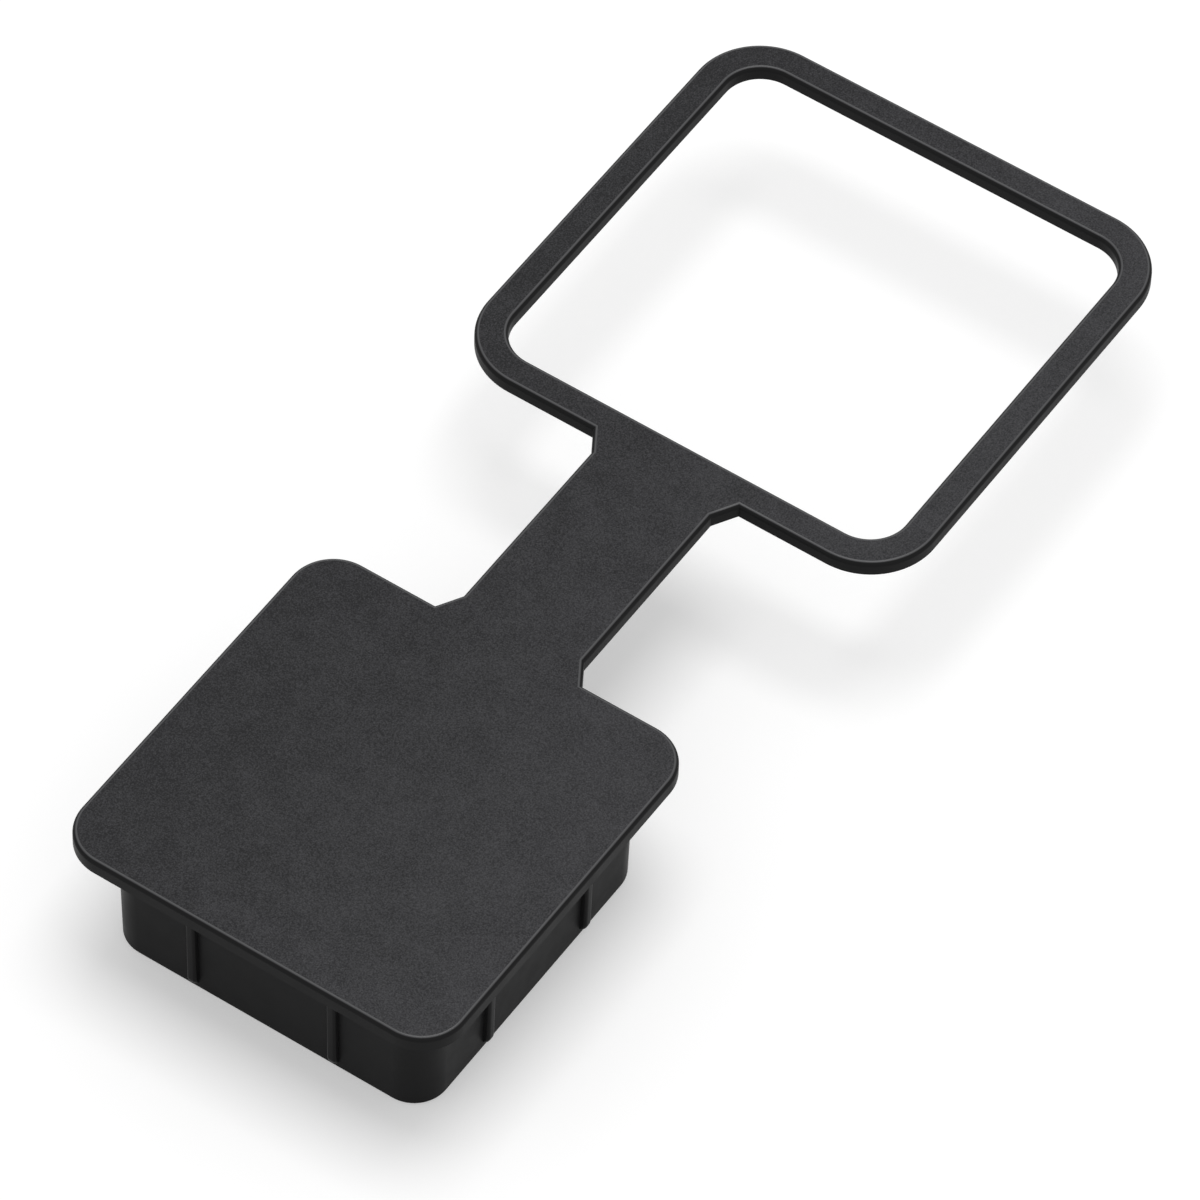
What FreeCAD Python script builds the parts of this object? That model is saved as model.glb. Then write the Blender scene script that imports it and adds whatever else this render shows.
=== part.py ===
import FreeCAD, Part
import os

# Rubber cover for a square hitch receiver, moulded in one piece.
# A flanged plug closes the mouth of the receiver. A flat strap joins it to
# a square loop that slips round the outside of the same tube, so that the
# cover stays on the vehicle while it is out of the mouth.
#
# Frame: millimetres. The origin is the centre of the plug's lower rim,
# +Z runs from that rim up to the flange and +Y from the plug to the loop.

Vector = FreeCAD.Vector
UP = Vector(0, 0, 1)

# The square tube that the cover is made for.
receiver_bore = 51.6
receiver_outside = 63.5

# Fits to that tube, each on one side.
plug_clearance = 0.4
rib_squeeze = 0.55
flange_lap = 4.2
loop_stretch = 0.45

# Thicknesses.
flange_thickness = 2.4
strap_thickness = 2.2
plug_wall = 2.2

# Plug.
plug_depth = 20.3
plug_corner_radius = 5.0
plug_draft = 0.25
cavity_roof_radius = 1.0
rim_outer_radius = 0.4
rim_inner_radius = 0.3

# Grip ribs on the plug, a pair on each wall.
rib_width = 1.45
rib_spacing = 22.2
rib_end_gap = 0.8
rib_nose_radius = 1.8
rib_edge_radius = 0.45

# Flange, strap and loop in plan.
flange_corner_radius = 6.6
strap_width = 19.2
strap_length = 36.8
flare_width = 2.1
flare_length = 3.5
loop_bar = 4.6
loop_inner_radius = 5.8
top_edge_radius = 0.7

# Sizes that follow.
plug_width = receiver_bore - 2 * plug_clearance
plug_rim_width = plug_width - 2 * plug_draft
rib_height = plug_clearance + rib_squeeze
flange_width = receiver_bore + 2 * flange_lap
loop_opening = receiver_outside - 2 * loop_stretch
loop_width = loop_opening + 2 * loop_bar
loop_outer_radius = loop_inner_radius + loop_bar
cavity_rim_width = plug_rim_width - 2 * plug_wall
cavity_roof_width = cavity_rim_width - 2 * plug_draft
cavity_corner_radius = plug_corner_radius - plug_wall
top_z = plug_depth + flange_thickness
strap_z = top_z - strap_thickness
loop_near_y = flange_width / 2 + strap_length
loop_centre_y = loop_near_y + loop_width / 2


def rounded_square(width, corner_radius, z, centre_y=0.0):
    """Closed wire of a square with round corners, level at height z."""
    half = width / 2
    straight = half - corner_radius
    middle = straight + corner_radius / 2 ** 0.5
    edges = []
    for quarter in range(4):
        side = Part.LineSegment(Vector(half, -straight, 0), Vector(half, straight, 0))
        corner = Part.Arc(
            Vector(half, straight, 0),
            Vector(middle, middle, 0),
            Vector(straight, half, 0),
        )
        for curve in (side, corner):
            edge = curve.toShape()
            edge.rotate(Vector(), UP, 90 * quarter)
            edges.append(edge)
    wire = Part.Wire(edges)
    wire.translate(Vector(0, centre_y, z))
    return wire


def slab(wire, thickness):
    """Solid of one thickness that stands on a level wire."""
    return Part.Face(wire).extrude(UP * thickness)


def edges_at(shape, z):
    """Edges of a shape that lie wholly in the level plane at height z."""
    def is_level(edge):
        box = edge.BoundBox
        return abs(box.ZMin - z) < 1e-4 and abs(box.ZMax - z) < 1e-4

    return [edge for edge in shape.Edges if is_level(edge)]


def make_flange():
    """Square lip that covers the mouth of the receiver."""
    outline = rounded_square(flange_width, flange_corner_radius, plug_depth)
    return slab(outline, flange_thickness)


def make_strap():
    """Strap that widens where it runs into the flange and into the loop."""
    half = strap_width / 2
    root = half + flare_width
    flange_edge = flange_width / 2
    right_side = [
        (root, flange_edge - loop_bar / 2),
        (root, flange_edge),
        (half, flange_edge + flare_length),
        (half, loop_near_y - flare_length),
        (root, loop_near_y),
        (root, loop_near_y + loop_bar / 2),
    ]
    left_side = [(-x, y) for x, y in reversed(right_side)]
    corners = [Vector(x, y, strap_z) for x, y in right_side + left_side]
    return slab(Part.makePolygon(corners + corners[:1]), strap_thickness)


def make_loop():
    """Square ring that slips round the outside of the receiver."""
    outside = rounded_square(loop_width, loop_outer_radius, strap_z, loop_centre_y)
    inside = rounded_square(loop_opening, loop_inner_radius, strap_z, loop_centre_y)
    return slab(outside, strap_thickness).cut(slab(inside, strap_thickness))


def make_top():
    """Flange, strap and loop as one sheet.

    The upper edge is rounded all along. The lower edge is sharp, because the
    mould parts there.
    """
    sheet = make_flange().fuse([make_strap(), make_loop()]).removeSplitter()
    return sheet.makeFillet(top_edge_radius, edges_at(sheet, top_z))


def make_plug():
    """Hollow square plug, open below, that narrows a little to its rim."""
    rim = rounded_square(plug_rim_width, plug_corner_radius, 0)
    root = rounded_square(plug_width, plug_corner_radius, plug_depth)
    body = Part.makeLoft([rim, root], True, True)
    body = body.makeFillet(rim_outer_radius, edges_at(body, 0))

    mouth = rounded_square(cavity_rim_width, cavity_corner_radius, 0)
    roof = rounded_square(cavity_roof_width, cavity_corner_radius, plug_depth)
    cavity = Part.makeLoft([mouth, roof], True, True)
    cavity = cavity.makeFillet(cavity_roof_radius, edges_at(cavity, plug_depth))

    shell = body.cut(cavity)
    inner_rim = [
        edge for edge in edges_at(shell, 0)
        if max(edge.BoundBox.XMax, edge.BoundBox.YMax, -edge.BoundBox.XMin, -edge.BoundBox.YMin)
        < (cavity_rim_width + plug_wall) / 2
    ]
    return shell.makeFillet(rim_inner_radius, inner_rim)


def is_on_rib_front(edge, nose_z):
    """Whether an edge of a rib bounds its front face or its curved nose."""
    box = edge.BoundBox
    runs_along_wall = box.YMax - box.YMin > rib_width / 2
    on_front = box.XMin > plug_rim_width / 2 and box.ZMin > nose_z - 1e-4
    on_nose = box.ZMax < nose_z + 1e-4 and box.XMax > plug_rim_width / 2
    return (on_front or on_nose) and not runs_along_wall


def make_rib(offset):
    """One upright rib on the +X wall, its lower end curved into the wall."""
    buried = cavity_rim_width / 2 + plug_wall / 2
    root_face = plug_width / 2 + rib_height
    rim_face = plug_rim_width / 2 + rib_height
    nose_z = rib_end_gap + rib_nose_radius
    nose_x = rim_face - rib_nose_radius
    diagonal = rib_nose_radius / 2 ** 0.5

    high_inner = Vector(buried, 0, plug_depth)
    high_outer = Vector(root_face, 0, plug_depth)
    nose_start = Vector(rim_face, 0, nose_z)
    nose_middle = Vector(nose_x + diagonal, 0, nose_z - diagonal)
    nose_end = Vector(nose_x, 0, rib_end_gap)
    low_inner = Vector(buried, 0, nose_z)
    profile = Part.Wire([
        Part.LineSegment(high_inner, high_outer).toShape(),
        Part.LineSegment(high_outer, nose_start).toShape(),
        Part.Arc(nose_start, nose_middle, nose_end).toShape(),
        Part.LineSegment(nose_end, low_inner).toShape(),
        Part.LineSegment(low_inner, high_inner).toShape(),
    ])
    rib = Part.Face(profile).extrude(Vector(0, rib_width, 0))
    front_edges = [edge for edge in rib.Edges if is_on_rib_front(edge, nose_z)]
    rib = rib.makeFillet(rib_edge_radius, front_edges)
    rib.translate(Vector(0, offset - rib_width / 2, 0))
    return rib


def make_ribs():
    """The same pair of ribs on each of the four walls."""
    ribs = []
    for quarter in range(4):
        for side in (-1, 1):
            rib = make_rib(side * rib_spacing / 2)
            rib.rotate(Vector(), UP, 90 * quarter)
            ribs.append(rib)
    return ribs


def make_cover():
    """The whole cover as one solid."""
    shape = make_top().fuse([make_plug()] + make_ribs()).removeSplitter()
    return shape.Solids[0] if len(shape.Solids) == 1 else shape


os.makedirs("parts", exist_ok=True)
cover = make_cover()
cover.exportStep("parts/receiver_cover.step")
print("solids", len(cover.Solids), "valid", cover.isValid(), "volume", round(cover.Volume, 1))
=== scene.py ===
"""Looks of a moulded rubber cover for a square hitch receiver.

The cover is one piece of black rubber: a flanged hollow plug with grip ribs,
a flat strap, and a square loop that slips round the receiver's tube. Its
shell is built from the plan outlines, the ribs are planted on the plug's
walls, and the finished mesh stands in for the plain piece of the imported
model. Every length is in metres.
"""

import logging
import math
from dataclasses import dataclass, field
from enum import Enum

import bmesh
import bpy
from mathutils import Matrix, Vector


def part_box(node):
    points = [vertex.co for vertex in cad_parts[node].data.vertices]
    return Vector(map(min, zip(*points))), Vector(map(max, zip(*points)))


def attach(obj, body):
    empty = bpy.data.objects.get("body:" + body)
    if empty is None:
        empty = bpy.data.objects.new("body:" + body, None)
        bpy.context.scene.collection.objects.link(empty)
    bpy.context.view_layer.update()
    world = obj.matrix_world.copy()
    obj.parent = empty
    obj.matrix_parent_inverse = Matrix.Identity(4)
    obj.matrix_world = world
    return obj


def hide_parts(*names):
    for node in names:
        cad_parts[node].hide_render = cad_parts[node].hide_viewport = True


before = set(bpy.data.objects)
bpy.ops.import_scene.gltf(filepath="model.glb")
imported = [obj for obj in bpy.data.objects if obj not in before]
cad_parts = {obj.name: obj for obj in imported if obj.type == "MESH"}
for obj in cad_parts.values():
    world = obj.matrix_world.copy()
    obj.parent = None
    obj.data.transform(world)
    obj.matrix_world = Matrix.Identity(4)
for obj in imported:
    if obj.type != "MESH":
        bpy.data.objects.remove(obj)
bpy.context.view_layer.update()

LOG = logging.getLogger("receiver_cover")
NODE = "receiver_cover"
BODY = "root"
MM = 0.001
FLANGE_THICKNESS = 2.4 * MM

# Soft noise mostly keeps to this range.
NOISE_RANGE = (0.3, 0.7)

Point2 = tuple[float, float]
Colour = tuple[float, float, float]
Ring = list[bmesh.types.BMVert]
Socket = bpy.types.NodeSocket


class Graph:
    """A node tree, with short ways to add nodes and to join them."""

    def __init__(self, tree: bpy.types.NodeTree) -> None:
        """Takes the tree that the nodes go into."""
        self.tree = tree

    def clear(self) -> None:
        """Removes the nodes that a new tree comes with."""
        self.tree.nodes.clear()

    def join(self, source: Socket, target: Socket) -> None:
        """Links one socket to another."""
        self.tree.links.new(source, target)

    def add(self, kind: str, inputs: dict | None = None, **settings: str) -> bpy.types.Node:
        """Adds a node.

        Args:
            kind: Type of the node.
            inputs: Value or socket for each of its inputs that isn't left as it is.
            settings: Options of the node.

        Returns:
            The new node.
        """
        node = self.tree.nodes.new(kind)
        for option, choice in settings.items():
            setattr(node, option, choice)
        for name, value in (inputs or {}).items():
            if isinstance(value, bpy.types.NodeSocket):
                self.join(value, node.inputs[name])
            else:
                node.inputs[name].default_value = value
        return node

    def math(self, operation: str, first: Socket | float, second: Socket | float) -> Socket:
        """Result of a sum on two values."""
        return self.add("ShaderNodeMath", {0: first, 1: second}, operation=operation).outputs["Value"]

    def remap(self, value: Socket, source: Point2, target: Point2) -> Socket:
        """Value moved smoothly from one range to another, and kept inside it.

        Args:
            value: What is moved.
            source: Lowest and highest value that count.
            target: What they become.

        Returns:
            The new value.
        """
        inputs = {
            "Value": value,
            "From Min": source[0],
            "From Max": source[1],
            "To Min": target[0],
            "To Max": target[1],
        }
        return self.add("ShaderNodeMapRange", inputs, interpolation_type="SMOOTHSTEP").outputs["Result"]

    def between(self, share: Socket | float, first: Socket, second: Socket | float) -> Socket:
        """Value between two others, all of the second where share is 1."""
        inputs = {"Factor": share, "A": first, "B": second}
        return self.add("ShaderNodeMix", inputs, data_type="FLOAT").outputs["Result"]

    def blend(self, share: Socket, first: Socket | Colour, second: Socket | Colour) -> Socket:
        """Colour between two others, all of the second where share is 1."""
        colours = [(*c, 1.0) if isinstance(c, tuple) else c for c in (first, second)]
        inputs = {"Factor": share, "A": colours[0], "B": colours[1]}
        return self.add("ShaderNodeMix", inputs, data_type="RGBA").outputs["Result"]

    def noise(self, place: Socket, size: float, detail: float) -> Socket:
        """Soft noise between 0 and 1.

        Args:
            place: Coordinates of the surface.
            size: Size of its largest shapes.
            detail: How many finer layers it has.

        Returns:
            The noise.
        """
        inputs = {"Vector": place, "Scale": 1 / size, "Detail": detail}
        return self.add("ShaderNodeTexNoise", inputs).outputs["Fac"]

    def seen(self, strength: float, otherwise: float) -> Socket:
        """Strength of light that differs for what is seen and what only lights other things.

        Args:
            strength: Strength as seen directly, in reflections and through glass.
            otherwise: Strength as a source of light.

        Returns:
            The strength.
        """
        path = self.add("ShaderNodeLightPath").outputs
        direct = self.math("MAXIMUM", path["Is Camera Ray"], path["Is Glossy Ray"])
        any_view = self.math("MAXIMUM", direct, path["Is Transmission Ray"])
        return self.remap(any_view, (0.0, 1.0), (otherwise, strength))


class Side(Enum):
    """Which side of a half outline the rubber lies on."""

    LEFT = 1
    RIGHT = -1


def arc(centre: Point2, radius: float, start: float, sweep: float, steps: int) -> list[Point2]:
    """Points of a round corner.

    Args:
        centre: Centre of the corner.
        radius: Radius of the corner.
        start: Angle of the first point, in degrees.
        sweep: Angle that the corner turns through, in degrees.
        steps: Number of straight stretches that the corner is made of.

    Returns:
        The points from the first to the last, both included.
    """
    angles = [math.radians(start + sweep * i / steps) for i in range(steps + 1)]
    return [(centre[0] + radius * math.cos(a), centre[1] + radius * math.sin(a)) for a in angles]


def half_square(half: float, radius: float, centre_y: float, steps: int) -> list[Point2]:
    """Right half of a square with round corners, from its near edge to its far edge.

    Args:
        half: Half the square's width.
        radius: Radius of its corners.
        centre_y: Where its centre lies on the Y axis.
        steps: Number of straight stretches in each corner.

    Returns:
        The half outline, which starts and ends on the Y axis.
    """
    flat = half - radius
    near = arc((flat, centre_y - flat), radius, -90, 90, steps)
    far = arc((flat, centre_y + flat), radius, 0, 90, steps)
    return [(0.0, centre_y - half)] + near + far + [(0.0, centre_y + half)]


def offset(outline: list[Point2], distance: float) -> list[Point2]:
    """Moves a half outline to its left, with its two ends kept on the Y axis.

    Args:
        outline: Half outline from the near end to the far end.
        distance: How far each stretch moves to its left.

    Returns:
        The moved half outline, with as many points.
    """
    def left(a: Point2, b: Point2) -> Vector:
        """Unit vector to the left of the stretch from a to b."""
        return Vector((a[1] - b[1], b[0] - a[0])).normalized()

    first = (-outline[1][0], outline[1][1])
    last = (-outline[-2][0], outline[-2][1])
    padded = [first] + outline + [last]
    moved = []
    for before, here, after in zip(padded, padded[1:], padded[2:]):
        a, b = left(before, here), left(here, after)
        step = (a + b) * (distance / (1 + a.dot(b)))
        moved.append((here[0] + step.x, here[1] + step.y))
    return moved


@dataclass(frozen=True)
class Rounding:
    """A quarter-round edge between a level face and an upright one.

    Attributes:
        radius: Radius of the edge.
        steps: Number of flat strips that the edge is made of.
    """

    radius: float
    steps: int

    def levels(self) -> list[Point2]:
        """Inset and drop of each ring, from the level face to the upright one."""
        turns = [math.radians(90 * i / self.steps) for i in range(self.steps + 1)]
        return [(self.radius * (1 - math.sin(t)), self.radius * (1 - math.cos(t))) for t in turns]


class HalfShell:
    """Right half of the rubber's skin while it is being built."""

    def __init__(self) -> None:
        """Starts with no faces."""
        self.mesh = bmesh.new()

    def ring(self, outline: list[Point2], z: float) -> Ring:
        """Adds the vertices of a half outline at one height."""
        return [self.mesh.verts.new((x, y, z)) for x, y in outline]

    def band(self, first: Ring, second: Ring) -> None:
        """Joins two rings of the same length with a strip of faces."""
        for a, b, c, d in zip(first, first[1:], second[1:], second):
            self.mesh.faces.new((a, b, c, d))

    def bands(self, rings: list[Ring]) -> None:
        """Joins each ring in a list to the next."""
        for first, second in zip(rings, rings[1:]):
            self.band(first, second)

    def flat(self, *runs: Ring) -> None:
        """Closes a level region whose border is the given runs, end to end."""
        self.mesh.faces.new([vertex for run in runs for vertex in run])

    def finish(self, name: str) -> bpy.types.Mesh:
        """Mirrors the half across the Y axis and turns every face outwards.

        Args:
            name: Name of the new mesh.

        Returns:
            The closed mesh of the whole shell.
        """
        seam = 0.001 * MM
        whole = self.mesh.verts[:] + self.mesh.edges[:] + self.mesh.faces[:]
        bmesh.ops.mirror(self.mesh, geom=whole, matrix=Matrix.Identity(4), merge_dist=seam, axis="X")
        bmesh.ops.remove_doubles(self.mesh, verts=self.mesh.verts, dist=seam)
        bmesh.ops.recalc_face_normals(self.mesh, faces=self.mesh.faces)
        result = bpy.data.meshes.new(name)
        self.mesh.to_mesh(result)
        self.mesh.free()
        return result


@dataclass
class Plug:
    """Hollow square plug that goes into the receiver's bore.

    Attributes:
        depth: Height of the plug, from its rim to the flange.
        root_half: Half its width under the flange.
        draft: How much each wall leans in over the depth.
        corner_radius: Radius of its upright corners.
        wall: Thickness of its walls at the rim.
        rim_edge: Outer edge of the rim.
        mouth_edge: Inner edge of the rim.
        roof_edge: Edge between the hollow's walls and its roof.
        corner_steps: Straight stretches in each upright corner.
    """

    depth: float
    root_half: float = 25.4 * MM
    draft: float = 0.25 * MM
    corner_radius: float = 5.0 * MM
    wall: float = 2.2 * MM
    rim_edge: Rounding = Rounding(0.4 * MM, 5)
    mouth_edge: Rounding = Rounding(0.3 * MM, 3)
    roof_edge: Rounding = Rounding(1.0 * MM, 6)
    corner_steps: int = 18

    @property
    def rim_half(self) -> float:
        """Half the plug's width at its rim."""
        return self.root_half - self.draft

    def build(self, shell: HalfShell) -> Ring:
        """Adds the plug's walls, rim and hollow.

        Args:
            shell: Shell that takes the faces.

        Returns:
            The ring where the walls meet the flange.
        """
        outer = half_square(self.rim_half, self.corner_radius, 0.0, self.corner_steps)
        mouth_half = self.rim_half - self.wall
        mouth_radius = self.corner_radius - self.wall
        mouth = half_square(mouth_half, mouth_radius, 0.0, self.corner_steps)
        roof = half_square(mouth_half - self.draft, mouth_radius, 0.0, self.corner_steps)
        root = half_square(self.root_half, self.corner_radius, 0.0, self.corner_steps)

        rings = [shell.ring(root, self.depth)]
        for inset, rise in reversed(self.rim_edge.levels()):
            rings.append(shell.ring(offset(outer, inset), rise))
        for inset, rise in self.mouth_edge.levels():
            rings.append(shell.ring(offset(mouth, -inset), rise))
        for inset, drop in reversed(self.roof_edge.levels()):
            rings.append(shell.ring(offset(roof, inset), self.depth - drop))
        shell.bands(rings)
        shell.flat(rings[-1])
        return rings[0]


@dataclass
class TopSheet:
    """Flange, strap and loop: one sheet with a soft upper edge.

    Attributes:
        flange_half: Half the flange's width.
        loop_half: Half the loop's outer width.
        far_y: Where the loop ends.
        top_z: Height of the upper face.
        flange_z: Height of the flange's underside.
        strap_thickness: Thickness of the strap and the loop.
        flange_radius: Radius of the flange's corners.
        strap_half: Half the strap's width.
        flare_width: How much the strap widens on each side at its ends.
        flare_length: Length over which it widens.
        loop_bar: Width of the loop's bars.
        opening_radius: Radius of the loop's inner corners.
        top_edge: Upper edge, outside and in the loop's opening.
        corner_steps: Straight stretches in each round corner.
    """

    flange_half: float
    loop_half: float
    far_y: float
    top_z: float
    flange_z: float
    strap_thickness: float = 2.2 * MM
    flange_radius: float = 6.6 * MM
    strap_half: float = 9.6 * MM
    flare_width: float = 2.1 * MM
    flare_length: float = 3.5 * MM
    loop_bar: float = 4.6 * MM
    opening_radius: float = 5.8 * MM
    top_edge: Rounding = Rounding(0.7 * MM, 12)
    corner_steps: int = 24

    def flange_outline(self) -> list[Point2]:
        """Half outline of the flange, up to where the strap leaves it."""
        square = half_square(self.flange_half, self.flange_radius, 0.0, self.corner_steps)
        return square[:-1] + [(self.strap_half + self.flare_width, self.flange_half)]

    def tether_outline(self) -> list[Point2]:
        """Half outline of the strap and the loop, from the flange to the far end."""
        near_y = self.far_y - 2 * self.loop_half
        radius = self.opening_radius + self.loop_bar
        loop = half_square(self.loop_half, radius, self.far_y - self.loop_half, self.corner_steps)
        return [
            (self.strap_half, self.flange_half + self.flare_length),
            (self.strap_half, near_y - self.flare_length),
            (self.strap_half + self.flare_width, near_y),
        ] + loop[1:]

    def build(self, shell: HalfShell, plug_root: Ring) -> None:
        """Adds the whole sheet.

        Args:
            shell: Shell that takes the faces.
            plug_root: Ring of the plug's walls, which the flange closes round.
        """
        flange = self.flange_outline()
        outer = flange + self.tether_outline()
        opening_half = self.loop_half - self.loop_bar
        centre_y = self.far_y - self.loop_half
        opening = half_square(opening_half, self.opening_radius, centre_y, self.corner_steps)
        strap_z = self.top_z - self.strap_thickness

        borders = {}
        for outline, side in ((outer, Side.LEFT), (opening, Side.RIGHT)):
            rings = [
                shell.ring(offset(outline, inset * side.value), self.top_z - drop)
                for inset, drop in self.top_edge.levels()
            ]
            rings.append(shell.ring(outline, strap_z))
            shell.bands(rings)
            borders[side] = rings
        outside, inside = borders[Side.LEFT], borders[Side.RIGHT]
        shell.flat(outside[0], inside[0][::-1])

        leaving = len(flange)
        low = shell.ring(flange, self.flange_z)
        shell.band(outside[-1][:leaving], low)
        step_high, = shell.ring([(0.0, self.flange_half)], strap_z)
        step_low, = shell.ring([(0.0, self.flange_half)], self.flange_z)
        shell.flat([step_high, step_low, low[-1], outside[-1][leaving - 1]])
        shell.flat([step_high], outside[-1][leaving - 1:], inside[-1][::-1])
        shell.flat(low, [step_low], plug_root[::-1])


@dataclass
class GripRibs:
    """Upright ribs that wedge the plug in the bore, a pair on each wall.

    Attributes:
        plug: The plug that they stand on.
        height: How far each rib stands out from its wall.
        width: Width of each rib.
        spacing: Distance between the two ribs of a wall.
        end_gap: Height of a rib's lower end above the plug's rim.
        nose_radius: Radius of the curve that brings its lower end into the wall.
        nose_steps: Straight stretches in that curve.
        front_edge: Radius of the edges along its front.
        front_edge_steps: Number of flat strips that those edges are made of.
        root_depth: How deep it is rooted in the wall and in the flange.
        walls: Number of walls that carry a pair.
    """

    plug: Plug
    height: float = 0.95 * MM
    width: float = 1.45 * MM
    spacing: float = 22.2 * MM
    end_gap: float = 0.8 * MM
    nose_radius: float = 1.8 * MM
    nose_steps: int = 8
    front_edge: float = 0.45 * MM
    front_edge_steps: int = 5
    root_depth: float = 1.1 * MM
    walls: int = 4

    def profile(self) -> list[Point2]:
        """Outline of a rib seen from its side, as distance from the plug's axis and height."""
        front_high = self.plug.root_half + self.height
        front_low = self.plug.rim_half + self.height
        inner = self.plug.rim_half - self.root_depth
        high = self.plug.depth + self.root_depth
        nose_z = self.end_gap + self.nose_radius
        nose = arc((front_low - self.nose_radius, nose_z), self.nose_radius, 0, -90, self.nose_steps)
        return [(inner, high), (front_high, high)] + nose + [(inner, nose_z)]

    def template(self) -> bpy.types.Object:
        """Makes one rib, centred on the X axis, with soft front edges.

        Returns:
            The rib's object, which the tree repeats.
        """
        rib = bmesh.new()
        profile = self.profile()
        sides = [
            [rib.verts.new((x, y, z)) for x, z in profile]
            for y in (-self.width / 2, self.width / 2)
        ]
        for side in sides:
            rib.faces.new(side)
        near, far = sides
        for i, here in enumerate(near):
            rib.faces.new((here, near[i - 1], far[i - 1], far[i]))
        bmesh.ops.recalc_face_normals(rib, faces=rib.faces)
        front = [
            rib.edges.get(pair)
            for side in sides
            for pair in zip(side[1:-2], side[2:-1])
        ]
        bmesh.ops.bevel(
            rib,
            geom=front,
            offset=self.front_edge,
            segments=self.front_edge_steps,
            profile=0.5,
            affect="EDGES",
        )
        mesh = bpy.data.meshes.new("grip_rib")
        rib.to_mesh(mesh)
        rib.free()
        return bpy.data.objects.new("grip_rib", mesh)

    def tree(self) -> bpy.types.NodeTree:
        """Builds the tree that plants a pair of ribs on each wall and joins them to the shell.

        Returns:
            The tree, with its sizes as named inputs.
        """
        tree = bpy.data.node_groups.new("plant_grip_ribs", "GeometryNodeTree")
        sockets = (
            ("Geometry", "INPUT", "NodeSocketGeometry"),
            ("Rib", "INPUT", "NodeSocketObject"),
            ("Spacing", "INPUT", "NodeSocketFloat"),
            ("Walls", "INPUT", "NodeSocketInt"),
            ("Rubber", "INPUT", "NodeSocketMaterial"),
            ("Geometry", "OUTPUT", "NodeSocketGeometry"),
        )
        for name, direction, kind in sockets:
            tree.interface.new_socket(name, in_out=direction, socket_type=kind)
        graph = Graph(tree)
        given = graph.add("NodeGroupInput").outputs
        rib = graph.add("GeometryNodeObjectInfo", {"Object": given["Rib"]}).outputs["Geometry"]
        pair = self.pair(graph, rib, given["Spacing"])
        ribs = self.around(graph, pair, given["Walls"])
        union = graph.add("GeometryNodeMeshBoolean", {"Mesh 2": ribs}, operation="UNION", solver="EXACT")
        graph.join(given["Geometry"], union.inputs["Mesh 2"])
        real = graph.add("GeometryNodeRealizeInstances", {"Geometry": union.outputs["Mesh"]})
        dress = {"Geometry": real.outputs["Geometry"], "Material": given["Rubber"]}
        dressed = graph.add("GeometryNodeSetMaterial", dress).outputs["Geometry"]
        graph.add("NodeGroupOutput", {"Geometry": dressed})
        return tree

    def pair(self, graph: Graph, rib: Socket, spacing: Socket) -> Socket:
        """Places two ribs side by side on the +X wall.

        Args:
            graph: Tree that takes the nodes.
            rib: Geometry of one rib.
            spacing: Distance between the two.

        Returns:
            The pair, as instances.
        """
        apart = graph.add("ShaderNodeCombineXYZ", {"Y": spacing}).outputs["Vector"]
        half_back = {"Vector": apart, "Scale": -0.5}
        first = graph.add("ShaderNodeVectorMath", half_back, operation="SCALE").outputs["Vector"]
        ends = {"Count": 2, "Start Location": first, "Offset": apart}
        line = graph.add("GeometryNodeMeshLine", ends, mode="OFFSET").outputs["Mesh"]
        placed = {"Points": line, "Instance": rib}
        return graph.add("GeometryNodeInstanceOnPoints", placed).outputs["Instances"]

    def around(self, graph: Graph, pair: Socket, walls: Socket) -> Socket:
        """Repeats the pair on each wall, turned about the plug's axis.

        Args:
            graph: Tree that takes the nodes.
            pair: The pair of ribs on the +X wall.
            walls: Number of walls.

        Returns:
            All the ribs, as real geometry.
        """
        axis = graph.add("GeometryNodePoints", {"Count": walls}).outputs["Geometry"]
        index = graph.add("GeometryNodeInputIndex").outputs["Index"]
        turn = graph.math("MULTIPLY", index, graph.math("DIVIDE", math.tau, walls))
        upright = graph.add("ShaderNodeCombineXYZ", {"Z": turn}).outputs["Vector"]
        placed = {"Points": axis, "Instance": pair, "Rotation": upright}
        ring = graph.add("GeometryNodeInstanceOnPoints", placed).outputs["Instances"]
        return graph.add("GeometryNodeRealizeInstances", {"Geometry": ring}).outputs["Geometry"]

    def plant(self, cover: bpy.types.Object, rubber: bpy.types.Material) -> None:
        """Joins the ribs to the cover's mesh.

        Args:
            cover: The cover, whose mesh is replaced by one with ribs.
            rubber: Material of the whole piece.
        """
        tree = self.tree()
        template = self.template()
        values = {"Rib": template, "Spacing": self.spacing, "Walls": self.walls, "Rubber": rubber}
        grow = cover.modifiers.new("plant_grip_ribs", "NODES")
        grow.node_group = tree
        for item in tree.interface.items_tree:
            if item.in_out == "INPUT" and item.name in values:
                grow[item.identifier] = values[item.name]
        bake(cover)
        bpy.data.objects.remove(template)


def bake(piece: bpy.types.Object) -> None:
    """Replaces a piece's mesh by what its modifiers make of it, and removes them."""
    piece.update_tag()
    bpy.context.view_layer.update()
    shown = piece.evaluated_get(bpy.context.evaluated_depsgraph_get())
    mesh = bpy.data.meshes.new_from_object(shown)
    piece.modifiers.clear()
    piece.data = mesh


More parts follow.
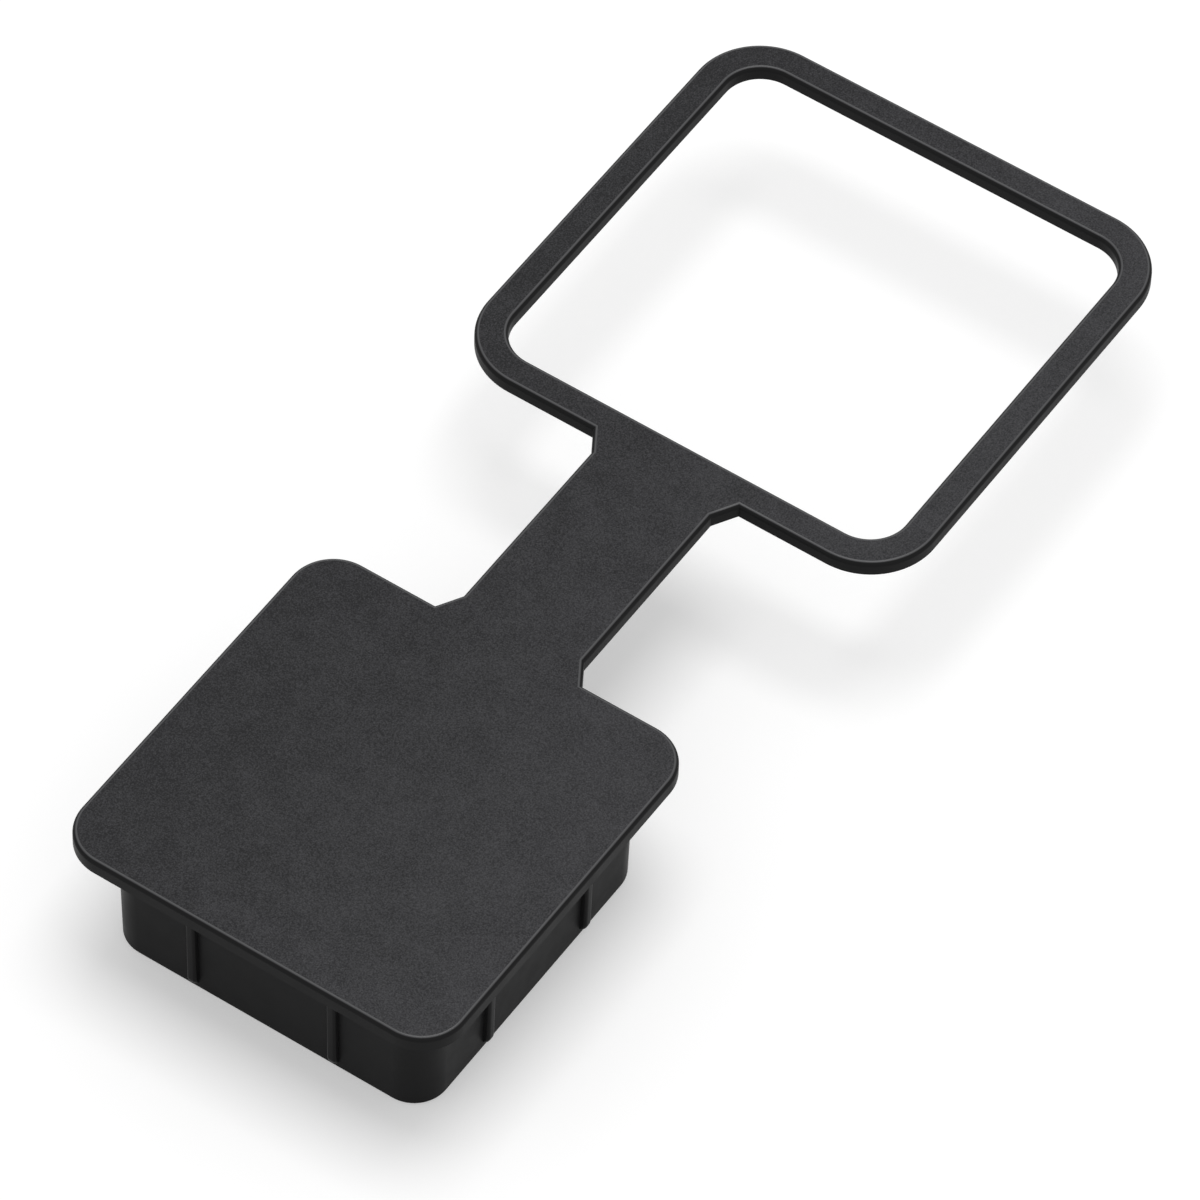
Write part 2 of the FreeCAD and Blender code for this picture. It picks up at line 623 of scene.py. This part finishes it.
@dataclass(frozen=True)
class MouldedRubber:
    """Black rubber with a fine leather-like grain on its upper face, and satin smooth elsewhere.

    Attributes:
        smooth_colour: Colour of the smooth sides and of the plug, as linear light.
        painted_highlight_colour: Colour of the painted highlight, a pale line along the start of the
            upper edge.
        valley_colour: Colour between the crests of the grain.
        crest_colour: Colour of the crests, which carry a pale bloom.
        grain_size: Size of one cell of the grain.
        grain_height: Height of the crests.
        cell_reach: Distance from a cell's middle, in cells, at which its crest has sunk to nothing.
        fine_size: Size of the finer grain, as a share of a cell.
        fine_share: Share of the finer grain in the whole.
        fine_detail: How many finer layers the grain and the ripple have.
        ripple_size: Size of the faint ripple of the smooth zones, as a share of a cell.
        ripple_height: Height of that ripple, as a share of the crests' height.
        cloud_size: Size of the faint clouds in the bloom.
        cloud_detail: How many finer layers the clouds have.
        cloud_strength: How much the clouds thin or thicken the bloom.
        face_depth: Depths, as shares of the upper edge's radius, between which the grain begins.
        shoulder_depth: Depths, as shares of that radius, between which the painted highlight line and
            the edge's polish begin.
        valley_roughness: Roughness between the crests.
        crest_roughness: Roughness of the crests.
        smooth_roughness: Roughness of the smooth zones.
        smooth_spread: How much the clouds raise or lower that roughness.
        polish_roughness: Roughness of the upper edge, which handling has polished.
        rib_roughness: Roughness of the ribs' fronts, which the bore has polished.
        rib_front_rise: Shares of a rib's height between which its front begins.
        rib_top_gap: Distance below the flange at which the ribs' polish ends.
        polish: Strength of the polish on the upper edge.
        painted_side_light: How much the painted side light darkens the upper face to the left and
            lightens it to the right.
        painted_side_light_reach: Distance from the middle at which the painted side light no longer
            changes.
        specular_level: Strength of the rubber's own gloss.
        refraction: Index of refraction of the rubber.
    """

    smooth_colour: Colour = (0.0155, 0.0155, 0.0158)
    # Painted highlight: a pale line along the start of the upper edge.
    painted_highlight_colour: Colour = (0.086, 0.086, 0.089)
    valley_colour: Colour = (0.0285, 0.0285, 0.0298)
    crest_colour: Colour = (0.0736, 0.0736, 0.0778)
    grain_size: float = 0.25 * MM
    grain_height: float = 0.05 * MM
    cell_reach: float = 0.75
    fine_size: float = 0.8
    fine_share: float = 0.5
    fine_detail: float = 2.0
    ripple_size: float = 2.0
    ripple_height: float = 0.06
    cloud_size: float = 4.0 * MM
    cloud_detail: float = 3.0
    cloud_strength: float = 0.08
    face_depth: Point2 = (0.012, 0.001)
    shoulder_depth: Point2 = (0.20, 0.04)
    valley_roughness: float = 0.75
    crest_roughness: float = 0.55
    smooth_roughness: float = 0.40
    smooth_spread: float = 0.03
    polish_roughness: float = 0.25
    rib_roughness: float = 0.3
    rib_front_rise: Point2 = (0.1, 0.6)
    rib_top_gap: float = 0.1 * MM
    polish: float = 0.3
    # Painted side light: the upper face is painted darker to the left and lighter to the right.
    painted_side_light: float = 0.17
    painted_side_light_reach: float = 40 * MM
    specular_level: float = 0.034
    refraction: float = 1.5

    def material(self, sheet: TopSheet, ribs: GripRibs) -> bpy.types.Material:
        """Builds the material.

        Args:
            sheet: The sheet whose upper face is grained and whose upper edge carries the polish and a
                painted highlight line.
            ribs: The ribs that the bore polishes.

        Returns:
            The finished material.
        """
        material = bpy.data.materials.new("moulded_rubber")
        material.use_nodes = True
        graph = Graph(material.node_tree)
        graph.clear()
        place = graph.add("ShaderNodeTexCoord").outputs["Object"]
        axes = graph.add("ShaderNodeSeparateXYZ", {"Vector": place}).outputs
        face = self.above(graph, axes["Z"], sheet, self.face_depth)
        shoulder = self.above(graph, axes["Z"], sheet, self.shoulder_depth)
        # Band where the upper edge begins: it carries the coat's polish and a painted highlight line in
        # the colour.
        edge_polish_and_painted_highlight = graph.math("MULTIPLY", shoulder, graph.math("SUBTRACT", 1.0, face))
        polished = graph.math("MULTIPLY", edge_polish_and_painted_highlight, self.polish)
        grain = self.grain(graph, place)
        clouds = graph.noise(place, self.cloud_size, self.cloud_detail)

        # Painted side light: the grained face is made darker to the left and lighter to the right, with
        # random clouds added on top.
        reach = (-self.painted_side_light_reach, self.painted_side_light_reach)
        painted_side_light = graph.remap(axes["X"], reach, (-self.painted_side_light, self.painted_side_light))
        cloudy = (-self.cloud_strength, self.cloud_strength)
        clouds_and_painted_side_light = graph.math("ADD", painted_side_light, graph.remap(clouds, NOISE_RANGE, cloudy))
        tone = graph.math("ADD", grain, clouds_and_painted_side_light)
        grained = graph.blend(tone, self.valley_colour, self.crest_colour)
        plain = graph.blend(face, self.smooth_colour, grained)
        # Painted highlight: the pale line along the start of the upper edge goes into the colour here.
        colour = graph.blend(edge_polish_and_painted_highlight, plain, self.painted_highlight_colour)
        dull = graph.remap(grain, (0.0, 1.0), (self.valley_roughness, self.crest_roughness))
        lowest = self.smooth_roughness - self.smooth_spread
        highest = self.smooth_roughness + self.smooth_spread
        satin = graph.remap(clouds, NOISE_RANGE, (lowest, highest))
        fronts = self.rib_fronts(graph, axes, ribs)
        roughness = graph.between(fronts, graph.between(face, satin, dull), self.rib_roughness)
        waves = graph.noise(place, self.ripple_size * self.grain_size, self.fine_detail)
        ripple = graph.math("MULTIPLY", waves, self.ripple_height)
        relief = {
            "Strength": 1.0,
            "Distance": self.grain_height,
            "Height": graph.between(face, ripple, grain),
        }
        skin = {
            "Base Color": colour,
            "Roughness": roughness,
            "IOR": self.refraction,
            "Specular IOR Level": self.specular_level,
            "Coat Weight": polished,
            "Coat Roughness": self.polish_roughness,
            "Normal": graph.add("ShaderNodeBump", relief).outputs["Normal"],
        }
        surface = graph.add("ShaderNodeBsdfPrincipled", skin).outputs["BSDF"]
        graph.add("ShaderNodeOutputMaterial", {"Surface": surface})
        return material

    def above(self, graph: Graph, height: Socket, sheet: TopSheet, depths: Point2) -> Socket:
        """Mask of what lies close under the sheet's upper face.

        Args:
            graph: Material that takes the nodes.
            height: Height of the surface.
            sheet: The sheet whose upper edge sets the scale.
            depths: Where the mask begins and where it is full, as shares of that edge's radius.

        Returns:
            The mask, 1 on the upper face.
        """
        edge = sheet.top_edge.radius
        start, full = (sheet.top_z - depth * edge for depth in depths)
        return graph.remap(height, (start, full), (0.0, 1.0))

    def rib_fronts(
        self, graph: Graph, axes: bpy.types.bpy_prop_collection, ribs: GripRibs
    ) -> Socket:
        """Mask of the ribs' fronts, which wedge in the bore.

        Args:
            graph: Material that takes the nodes.
            axes: Place on the surface, split into its X, Y and Z.
            ribs: The ribs.

        Returns:
            The mask, 1 on the fronts and 0 on the walls and above them.
        """
        across = graph.math("ABSOLUTE", axes["X"], 0.0)
        along = graph.math("ABSOLUTE", axes["Y"], 0.0)
        reach = graph.math("MAXIMUM", across, along)
        start, full = (ribs.plug.root_half + rise * ribs.height for rise in self.rib_front_rise)
        proud = graph.remap(reach, (start, full), (0.0, 1.0))
        below = graph.math("LESS_THAN", axes["Z"], ribs.plug.depth - self.rib_top_gap)
        return graph.math("MULTIPLY", proud, below)

    def grain(self, graph: Graph, place: Socket) -> Socket:
        """Pebbled grain, from 0 in the valleys to 1 on the crests.

        Args:
            graph: Material that takes the nodes.
            place: Coordinates of the surface.

        Returns:
            The height of the grain.
        """
        pebbles = {"Vector": place, "Scale": 1 / self.grain_size, "Randomness": 1.0}
        cells = graph.add("ShaderNodeTexVoronoi", pebbles, feature="F1").outputs["Distance"]
        rounded = graph.remap(cells, (0.0, self.cell_reach), (1.0, 0.0))
        specks = graph.noise(place, self.fine_size * self.grain_size, self.fine_detail)
        fine = graph.remap(specks, NOISE_RANGE, (0.0, 1.0))
        return graph.between(self.fine_share, rounded, fine)


@dataclass
class ReceiverCover:
    """The whole cover: sheet, plug and ribs as one closed mesh.

    Attributes:
        sheet: Flange, strap and loop.
        plug: The hollow plug.
        ribs: The grip ribs on it.
        finish: What the rubber looks like.
        crease_angle: Edges that turn more than this stay sharp.
    """

    sheet: TopSheet
    plug: Plug
    ribs: GripRibs
    finish: MouldedRubber = field(default_factory=MouldedRubber)
    crease_angle: float = math.radians(28)

    def build(self) -> bpy.types.Object:
        """Makes the mesh, dresses it and puts it in the model's place.

        Returns:
            The finished piece.
        """
        shell = HalfShell()
        root = self.plug.build(shell)
        self.sheet.build(shell, root)
        cover = bpy.data.objects.new("moulded_cover", shell.finish("moulded_cover"))
        bpy.context.scene.collection.objects.link(cover)
        rubber = self.finish.material(self.sheet, self.ribs)
        self.ribs.plant(cover, rubber)
        self.smooth(cover)
        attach(cover, BODY)
        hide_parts(NODE)
        return cover

    def smooth(self, cover: bpy.types.Object) -> None:
        """Shades the round edges soft and keeps the flat faces flat."""
        cover.data.shade_smooth()
        cover.data.set_sharp_from_angle(angle=self.crease_angle)
        weighted = cover.modifiers.new("flat_faces", "WEIGHTED_NORMAL")
        weighted.keep_sharp = True
        weighted.weight = 100
        bake(cover)


@dataclass
class Studio:
    """Pale floor, soft overhead light and the camera.

    Attributes:
        target: Point that the camera looks at.
        azimuth: Angle of the camera's line of sight to the right of +Y, in degrees.
        elevation: Height of the camera above the level, in degrees.
        roll: Turn of the camera about its line of sight, in degrees.
        distance: Distance from the camera to the target.
        lens: Focal length for a 36 mm sensor, in millimetres.
        nearest: Distance in front of the camera from which it sees.
        floor_size: Width of the floor.
        floor_gap: Gap that keeps the floor from sharing a plane with the plug's rim.
        floor_albedo: Share of the light that the floor throws back.
        floor_lift: How much the floor as seen is lifted towards white.
        ambient: Strength of the even light from all round.
        lamp_place: Where the overhead lamp hangs.
        lamp_size: Width of its square face.
        lamp_power: Its power, in watts.
    """

    target: tuple[float, float, float] = (5.59 * MM, 43.04 * MM, 22.7 * MM)
    azimuth: float = -32.616
    elevation: float = 51.528
    roll: float = 2.065
    distance: float = 1.2569
    lens: float = 287.1
    nearest: float = 0.05
    floor_size: float = 6.0
    floor_gap: float = 0.02 * MM
    floor_albedo: float = 0.75
    floor_lift: float = 0.35
    ambient: float = 0.706
    lamp_place: tuple[float, float, float] = (-0.04, 0.40, 2.4)
    lamp_size: float = 1.4
    lamp_power: float = 25.3

    def build(self) -> None:
        """Sets up the floor, the lamps, the surroundings and the camera."""
        self.floor()
        self.surroundings()
        self.lamp()
        self.camera()
        bpy.context.scene.view_settings.view_transform = "Standard"

    def floor(self) -> None:
        """Makes the plain floor that the cover stands on."""
        mesh = bpy.data.meshes.new("floor")
        half = self.floor_size / 2
        low = -self.floor_gap
        corners = [(-half, -half, low), (half, -half, low), (half, half, low), (-half, half, low)]
        mesh.from_pydata(corners, [], [(0, 1, 2, 3)])
        floor = bpy.data.objects.new("floor", mesh)
        bpy.context.scene.collection.objects.link(floor)
        material = bpy.data.materials.new("pale_floor")
        material.use_nodes = True
        graph = Graph(material.node_tree)
        graph.clear()
        paint = graph.add("ShaderNodeBsdfDiffuse", {"Color": (self.floor_albedo,) * 3 + (1.0,)})
        lift = {"Strength": graph.seen(self.floor_lift, 0.0)}
        glow = graph.add("ShaderNodeEmission", lift)
        both = graph.add("ShaderNodeAddShader", {0: paint.outputs["BSDF"], 1: glow.outputs["Emission"]})
        graph.add("ShaderNodeOutputMaterial", {"Surface": both.outputs["Shader"]})
        mesh.materials.append(material)

    def surroundings(self) -> None:
        """Fills the room with even light, seen as white."""
        world = bpy.data.worlds.new("surroundings")
        world.use_nodes = True
        graph = Graph(world.node_tree)
        graph.clear()
        sky = graph.add("ShaderNodeBackground", {"Strength": graph.seen(1.0, self.ambient)})
        graph.add("ShaderNodeOutputWorld", {"Surface": sky.outputs["Background"]})
        bpy.context.scene.world = world

    def lamp(self) -> None:
        """Hangs the square soft light that faces the cover."""
        data = bpy.data.lights.new("overhead", "AREA")
        data.size = self.lamp_size
        data.energy = self.lamp_power
        lamp = bpy.data.objects.new("overhead", data)
        lamp.location = self.lamp_place
        aim = Vector(self.target) - Vector(self.lamp_place)
        lamp.rotation_euler = aim.to_track_quat("-Z", "Y").to_euler()
        bpy.context.scene.collection.objects.link(lamp)

    def camera(self) -> None:
        """Places the camera."""
        data = bpy.data.cameras.new("camera")
        data.lens = self.lens
        data.clip_start = self.nearest
        camera = bpy.data.objects.new("camera", data)
        turn = (
            Matrix.Rotation(math.radians(-self.azimuth), 4, "Z")
            @ Matrix.Rotation(math.radians(90 - self.elevation), 4, "X")
            @ Matrix.Rotation(math.radians(self.roll), 4, "Z")
        )
        back = turn @ Vector((0, 0, self.distance))
        camera.matrix_world = Matrix.Translation(Vector(self.target) + back) @ turn
        bpy.context.scene.collection.objects.link(camera)
        bpy.context.scene.camera = camera


def main() -> None:
    """Builds the cover and the studio round it, and logs the cover's face count."""
    logging.basicConfig(level=logging.INFO, format="%(name)s: %(message)s")
    low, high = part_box(NODE)
    plug = Plug(depth=high.z - FLANGE_THICKNESS)
    sheet = TopSheet(
        flange_half=-low.y,
        loop_half=high.x,
        far_y=high.y,
        top_z=high.z,
        flange_z=plug.depth,
    )
    cover = ReceiverCover(sheet, plug, GripRibs(plug)).build()
    LOG.info("%s has %d faces", cover.name, len(cover.data.polygons))
    Studio().build()


if __name__ == "__main__":
    main()
